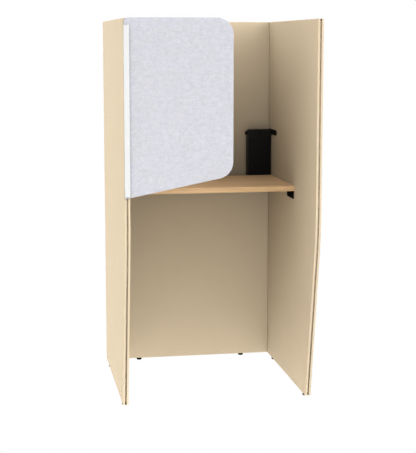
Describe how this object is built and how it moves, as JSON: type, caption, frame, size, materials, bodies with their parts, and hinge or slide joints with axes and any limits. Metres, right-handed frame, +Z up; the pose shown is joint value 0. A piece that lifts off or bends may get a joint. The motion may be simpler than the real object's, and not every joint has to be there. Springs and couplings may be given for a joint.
{
  "type": "office booth",
  "caption": "Open-topped standing-height work booth with cut-back side panels, back panel, worktop, half-width felt front screen, levelling feet and a lidded power box.",
  "frame": {"origin": "on the floor, under the middle of the booth's outline", "axes": "+X to the user's right, +Y from the open front to the back panel, +Z up"},
  "size_m": [0.9, 1.018, 1.793],
  "materials": {
    "cream_coat": "cream powder coat, satin",
    "frame_wood": "plain softwood, hidden in the panel",
    "honeycomb": "paper honeycomb, hidden in the panel",
    "rail_aluminium": "plain extrusion",
    "worktop": "light oak grain laminate, matt",
    "black_coat": "black powder coat",
    "black_coat_box": "black powder coat, fine texture",
    "screw_steel": "zinc plated",
    "felt": "pressed polyester felt, light grey melange",
    "white_plastic": "white, satin",
    "foot_rubber": "black moulded nylon",
    "socket_plastic": "dark moulded plastic"
  },
  "bodies": {
    "booth": {"left_outer_skin": "cream_coat", "left_inner_skin": "cream_coat", "right_outer_skin": "cream_coat", "right_inner_skin": "cream_coat", "back_outer_skin": "cream_coat", "back_inner_skin": "cream_coat", "left_frame": "frame_wood", "right_frame": "frame_wood", "back_frame": "frame_wood", "left_lower_core": "honeycomb", "left_upper_core": "honeycomb", "right_lower_core": "honeycomb", "right_upper_core": "honeycomb", "back_core": "honeycomb", "left_joint_rail": "rail_aluminium", "right_joint_rail": "rail_aluminium", "tabletop": "worktop", "tabletop_edge_band": "worktop", "left_front_bracket": "black_coat", "left_rear_bracket": "black_coat", "right_front_bracket": "black_coat", "right_rear_bracket": "black_coat", "joint_rail_screws": "screw_steel", "bracket_panel_screws": "black_coat", "bracket_table_screws": "black_coat", "clamp_screws": "screw_steel", "power_box_screws": "black_coat_box", "hook_screws": "black_coat_box", "front_screen": "felt", "screen_clamp_bar": "screw_steel", "slot_nuts": "screw_steel", "foot_inserts": "screw_steel", "clamp_bar_cover": "white_plastic", "power_box_body": "black_coat_box", "hook_bracket": "black_coat_box", "lid_hinge_pin": "black_coat_box", "socket_block": "socket_plastic"},
    "left_front_foot": {"left_front_foot": "foot_rubber"},
    "left_rear_foot": {"left_rear_foot": "foot_rubber"},
    "right_front_foot": {"right_front_foot": "foot_rubber"},
    "right_rear_foot": {"right_rear_foot": "foot_rubber"},
    "back_left_foot": {"back_left_foot": "foot_rubber"},
    "back_right_foot": {"back_right_foot": "foot_rubber"},
    "lid": {"power_box_lid": "black_coat_box"}
  },
  "joints": [
    {"name": "left_front_leveller", "type": "slide", "parent": "booth", "child": "left_front_foot", "axis": [0, 0, -1], "range_m": [0, 0.012]},
    {"name": "left_rear_leveller", "type": "slide", "parent": "booth", "child": "left_rear_foot", "axis": [0, 0, -1], "range_m": [0, 0.012]},
    {"name": "right_front_leveller", "type": "slide", "parent": "booth", "child": "right_front_foot", "axis": [0, 0, -1], "range_m": [0, 0.012]},
    {"name": "right_rear_leveller", "type": "slide", "parent": "booth", "child": "right_rear_foot", "axis": [0, 0, -1], "range_m": [0, 0.012]},
    {"name": "back_left_leveller", "type": "slide", "parent": "booth", "child": "back_left_foot", "axis": [0, 0, -1], "range_m": [0, 0.012]},
    {"name": "back_right_leveller", "type": "slide", "parent": "booth", "child": "back_right_foot", "axis": [0, 0, -1], "range_m": [0, 0.012]},
    {"name": "lid_hinge", "type": "hinge", "parent": "booth", "child": "lid", "pos_m": [0.3595, 0.45725, 1.21125], "axis": [-1, 0, 0], "range_deg": [0, 95]}
  ]
}
